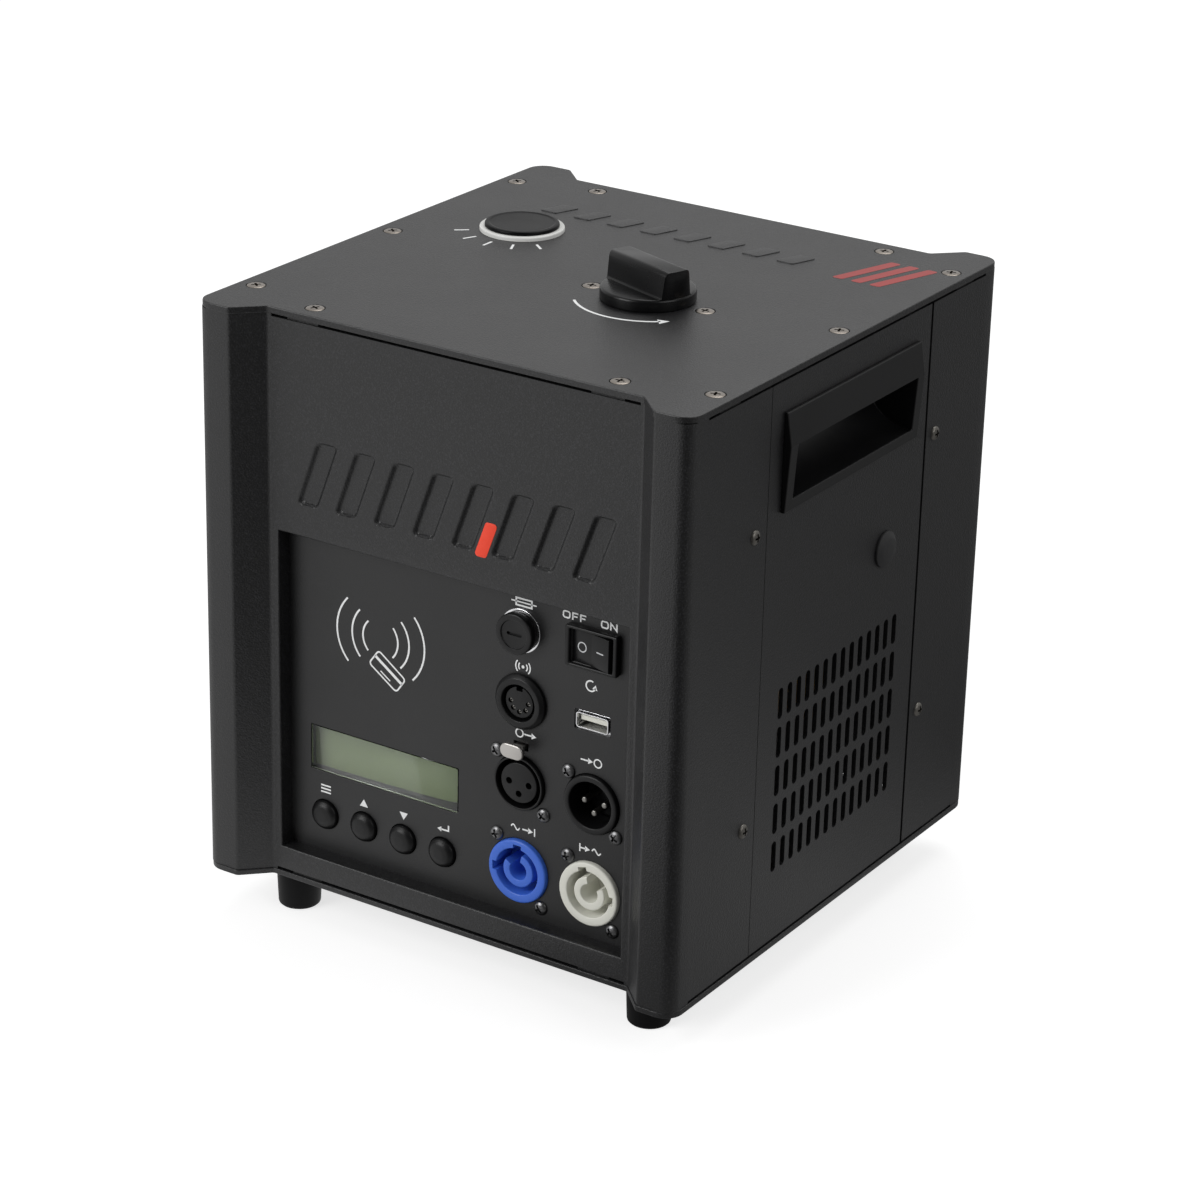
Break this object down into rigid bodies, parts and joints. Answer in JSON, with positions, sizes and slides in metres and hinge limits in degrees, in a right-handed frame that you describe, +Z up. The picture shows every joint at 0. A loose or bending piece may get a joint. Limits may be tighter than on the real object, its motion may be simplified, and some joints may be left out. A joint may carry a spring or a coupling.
{
  "type": "cold spark machine",
  "caption": "Black sheet metal cold spark machine with a recessed control panel, pocket handles, vented sides, a filler cap and a spark outlet on top.",
  "frame": {"origin": "on the floor under the middle of the case, at the height of the undersides of the feet", "axes": "+Z up, -Y towards the control panel, +X to the right as the control panel is faced"},
  "size_m": [0.2076, 0.212, 0.2498],
  "materials": {
    "powder_coat": "fine texture",
    "panel_coat": "matt",
    "black_plastic": "satin",
    "gloss_plastic": "glossy",
    "rubber": "matt",
    "bright_metal": "bright",
    "steel": "satin",
    "brass": "satin",
    "copper": "satin",
    "white_ceramic": "matt",
    "lens": "clear",
    "fuse_glass": "clear",
    "board": "satin",
    "blue_moulding": "satin",
    "grey_moulding": "satin"
  },
  "bodies": {
    "machine": {"base_plate": "powder_coat", "top_plate": "powder_coat", "front_shell": "powder_coat", "rear_shell": "powder_coat", "side_panel_right": "powder_coat", "side_panel_left": "powder_coat", "side_handle_right": "black_plastic", "side_handle_left": "black_plastic", "hole_plug_right": "rubber", "hole_plug_left": "rubber", "rubber_foot_front_left": "rubber", "rubber_foot_front_right": "rubber", "rubber_foot_rear_left": "rubber", "rubber_foot_rear_right": "rubber", "control_panel": "panel_coat", "display_window": "lens", "display_module": "board", "control_board": "board", "card_reader_board": "board", "fuse_ring": "bright_metal", "fuse_holder": "black_plastic", "switch_frame": "black_plastic", "receiver_socket": "black_plastic", "usb_shell": "bright_metal", "usb_tongue": "grey_moulding", "signal_out_socket": "black_plastic", "signal_in_shell": "black_plastic", "signal_in_insert": "bright_metal", "power_inlet": "blue_moulding", "power_outlet": "grey_moulding", "filler_neck": "steel", "outlet_ring": "white_ceramic", "hopper": "steel", "spark_tube": "steel", "ceramic_sleeve": "white_ceramic", "induction_coil": "copper", "feed_housing": "steel", "feed_motor": "steel", "motor_bracket": "steel", "blower_housing": "black_plastic", "fan_frame": "black_plastic", "power_supply": "steel", "driver_board": "board"},
    "cap_seal": {"filler_seal": "rubber"},
    "cap": {"filler_cap": "gloss_plastic"},
    "spark_cap": {"outlet_cap": "gloss_plastic"},
    "menu_button": {"button_menu": "black_plastic"},
    "up_button": {"button_up": "black_plastic"},
    "down_button": {"button_down": "black_plastic"},
    "enter_button": {"button_enter": "black_plastic"},
    "rocker": {"power_rocker": "gloss_plastic"},
    "fuse": {"fuse_link": "fuse_glass"},
    "fuse_carrier": {"fuse_cap": "black_plastic"},
    "latch": {"signal_out_latch": "steel"},
    "screw": {"feed_auger": "steel", "auger_gear": "brass"},
    "pinion": {"motor_pinion": "brass"},
    "impeller": {"blower_impeller": "black_plastic"},
    "fan": {"fan_rotor": "black_plastic"}
  },
  "joints": [
    {"name": "filler_cap_rise", "type": "slide", "parent": "machine", "child": "cap_seal", "axis": [0, 0, 1], "range_m": [0, 0.009]},
    {"name": "filler_cap_turn", "type": "hinge", "parent": "cap_seal", "child": "cap", "pos_m": [0.023, -0.00975, 0.2358], "axis": [0, 0, 1], "range_deg": [0, 1080]},
    {"name": "outlet_cap_lift", "type": "slide", "parent": "machine", "child": "spark_cap", "axis": [0, 0, 1], "range_m": [0, 0.015]},
    {"name": "menu_press", "type": "slide", "parent": "machine", "child": "menu_button", "axis": [0, 1, 0], "range_m": [0, 0.0008], "stiffness_N_per_m": 2000},
    {"name": "up_press", "type": "slide", "parent": "machine", "child": "up_button", "axis": [0, 1, 0], "range_m": [0, 0.0008], "stiffness_N_per_m": 2000},
    {"name": "down_press", "type": "slide", "parent": "machine", "child": "down_button", "axis": [0, 1, 0], "range_m": [0, 0.0008], "stiffness_N_per_m": 2000},
    {"name": "enter_press", "type": "slide", "parent": "machine", "child": "enter_button", "axis": [0, 1, 0], "range_m": [0, 0.0008], "stiffness_N_per_m": 2000},
    {"name": "power_rocker_tilt", "type": "hinge", "parent": "machine", "child": "rocker", "pos_m": [0.0559, -0.0897, 0.1392], "axis": [0, 0, 1], "range_deg": [0, 18]},
    {"name": "fuse_draw", "type": "slide", "parent": "machine", "child": "fuse", "axis": [0, -1, 0], "range_m": [0, 0.03]},
    {"name": "fuse_cap_turn", "type": "hinge", "parent": "fuse", "child": "fuse_carrier", "pos_m": [0.026, -0.09, 0.1384], "axis": [0, -1, 0], "range_deg": [0, 90]},
    {"name": "latch_press", "type": "slide", "parent": "machine", "child": "latch", "axis": [0, 1, 0], "range_m": [0, 0.0015], "stiffness_N_per_m": 1500},
    {"name": "feed_screw_spin", "type": "hinge", "parent": "machine", "child": "screw", "pos_m": [0, 0.0304, 0.112], "axis": [1, 0, 0], "continuous": true},
    {"name": "pinion_spin", "type": "hinge", "parent": "machine", "child": "pinion", "pos_m": [0.07, 0.0304, 0.08545], "axis": [1, 0, 0], "continuous": true},
    {"name": "impeller_spin", "type": "hinge", "parent": "machine", "child": "impeller", "pos_m": [-0.0314, 0.0304, 0.0575], "axis": [0, 1, 0], "continuous": true},
    {"name": "fan_spin", "type": "hinge", "parent": "machine", "child": "fan", "pos_m": [-0.09, 0, 0.0835], "axis": [1, 0, 0], "continuous": true}
  ],
  "couplings": [
    {"joint": "filler_cap_turn", "follows": "filler_cap_rise", "rad_per_m": 2094.4},
    {"joint": "pinion_spin", "follows": "feed_screw_spin", "ratio": -1.625}
  ]
}
